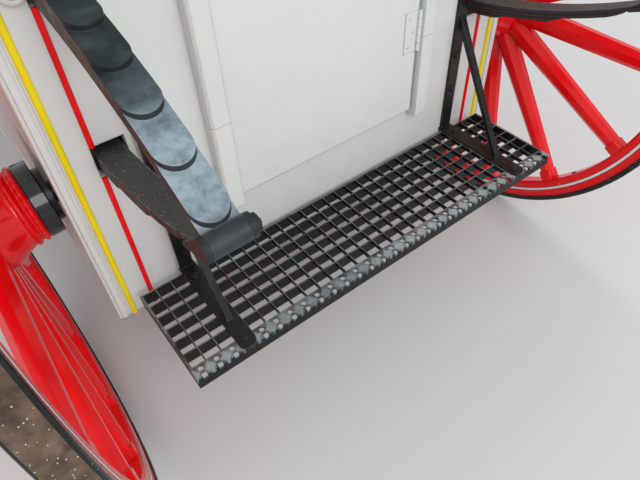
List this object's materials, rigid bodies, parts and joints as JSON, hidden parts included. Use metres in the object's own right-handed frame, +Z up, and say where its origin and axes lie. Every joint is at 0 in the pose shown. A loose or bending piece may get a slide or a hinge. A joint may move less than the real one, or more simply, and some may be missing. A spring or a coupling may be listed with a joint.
{
  "type": "ice cream cart",
  "caption": "Horse-drawn style ice cream cart: spoked wheels on elliptic springs, steered front axle with drawbar, vendor's well with rear door and step, lidded tubs, canopy.",
  "frame": {"origin": "on the ground, under the middle of the cart's overall length and width", "axes": "+Y the way the cart is towed, +X to its right, +Z up"},
  "size_m": [1.5972, 4.3471, 2.5498],
  "materials": {
    "white": "gloss paint",
    "white_wood": "gloss paint on wood",
    "red": "gloss paint",
    "yellow": "gloss paint",
    "black_iron": "black paint, worn",
    "spring_steel": "blackened, worn",
    "tyre_iron": "worn iron",
    "floor_wood": "varnished",
    "steel_tub": "satin",
    "roof_paint": "painted canvas over boards"
  },
  "bodies": {
    "cart": {"rear_wall": "white", "rear_stiles": "white_wood", "rear_quarters": "white", "beads_red": "red", "beads_yellow": "yellow", "side_walls": "white", "spring_boxes": "white", "floor": "floor_wood", "underframe": "red", "bulkhead": "white", "bow_sides": "white", "bow_floor": "floor_wood", "bow_front": "white", "counter": "steel_tub", "tubs": "steel_tub", "lid_hinge_ears": "steel_tub", "capping": "white_wood", "board_hinges": "white", "step_tread": "black_iron", "step_irons": "black_iron", "rear_springs_lower": "spring_steel", "rear_springs_upper": "spring_steel", "rear_axle": "black_iron", "rear_axle_arms": "black_iron", "rear_axle_collars": "black_iron", "spring_brackets": "black_iron", "turntable_upper": "black_iron", "posts": "red", "roof_rails": "white_wood", "roof": "roof_paint", "valance": "red"},
    "rear_door": {"rear_door": "white", "door_hinges": "white"},
    "lid_left": {"lid_left": "steel_tub"},
    "lid_right": {"lid_right": "steel_tub"},
    "fore_carriage": {"fore_carriage_bed": "red", "front_springs_lower": "spring_steel", "front_springs_upper": "spring_steel", "front_axle": "black_iron"},
    "drawbar": {"drawbar": "red", "tow_eye": "black_iron"},
    "wheel_rear_left": {"wheel_rear_left_hub": "red", "wheel_rear_left_spokes": "red", "wheel_rear_left_felloes": "red", "wheel_rear_left_tyre": "tyre_iron"},
    "wheel_rear_right": {"wheel_rear_right_hub": "red", "wheel_rear_right_spokes": "red", "wheel_rear_right_felloes": "red", "wheel_rear_right_tyre": "tyre_iron"},
    "wheel_front_left": {"wheel_front_left_hub": "red", "wheel_front_left_spokes": "red", "wheel_front_left_felloes": "red", "wheel_front_left_tyre": "tyre_iron"},
    "wheel_front_right": {"wheel_front_right_hub": "red", "wheel_front_right_spokes": "red", "wheel_front_right_felloes": "red", "wheel_front_right_tyre": "tyre_iron"}
  },
  "joints": [
    {"name": "wheel_rear_left_spin", "type": "hinge", "parent": "cart", "child": "wheel_rear_left", "pos_m": [-0.692, -1.58856, 0.58544], "axis": [0.9981, 0, 0.061], "continuous": true},
    {"name": "wheel_rear_right_spin", "type": "hinge", "parent": "cart", "child": "wheel_rear_right", "pos_m": [0.692, -1.58856, 0.58544], "axis": [0.9981, 0, -0.061], "continuous": true},
    {"name": "wheel_front_left_spin", "type": "hinge", "parent": "fore_carriage", "child": "wheel_front_left", "pos_m": [-0.6, 0.36144, 0.3908], "axis": [0.9981, 0, 0.061], "continuous": true},
    {"name": "wheel_front_right_spin", "type": "hinge", "parent": "fore_carriage", "child": "wheel_front_right", "pos_m": [0.6, 0.36144, 0.3908], "axis": [0.9981, 0, -0.061], "continuous": true},
    {"name": "steering", "type": "hinge", "parent": "cart", "child": "fore_carriage", "pos_m": [0, 0.36144, 0.8], "axis": [0, 0, 1], "range_deg": [-60, 60]},
    {"name": "drawbar_lift", "type": "hinge", "parent": "fore_carriage", "child": "drawbar", "pos_m": [0, 0.79144, 0.72], "axis": [1, 0, 0], "range_deg": [0, 50]},
    {"name": "rear_door_swing", "type": "hinge", "parent": "cart", "child": "rear_door", "pos_m": [0.2337, -1.73956, 0.951], "axis": [0, 0, 1], "range_deg": [0, 105]},
    {"name": "lid_left_lift", "type": "hinge", "parent": "cart", "child": "lid_left", "pos_m": [-0.235, 0.09644, 1.39], "axis": [-1, 0, 0], "range_deg": [0, 95]},
    {"name": "lid_right_lift", "type": "hinge", "parent": "cart", "child": "lid_right", "pos_m": [0.235, 0.09644, 1.39], "axis": [-1, 0, 0], "range_deg": [0, 95]}
  ]
}
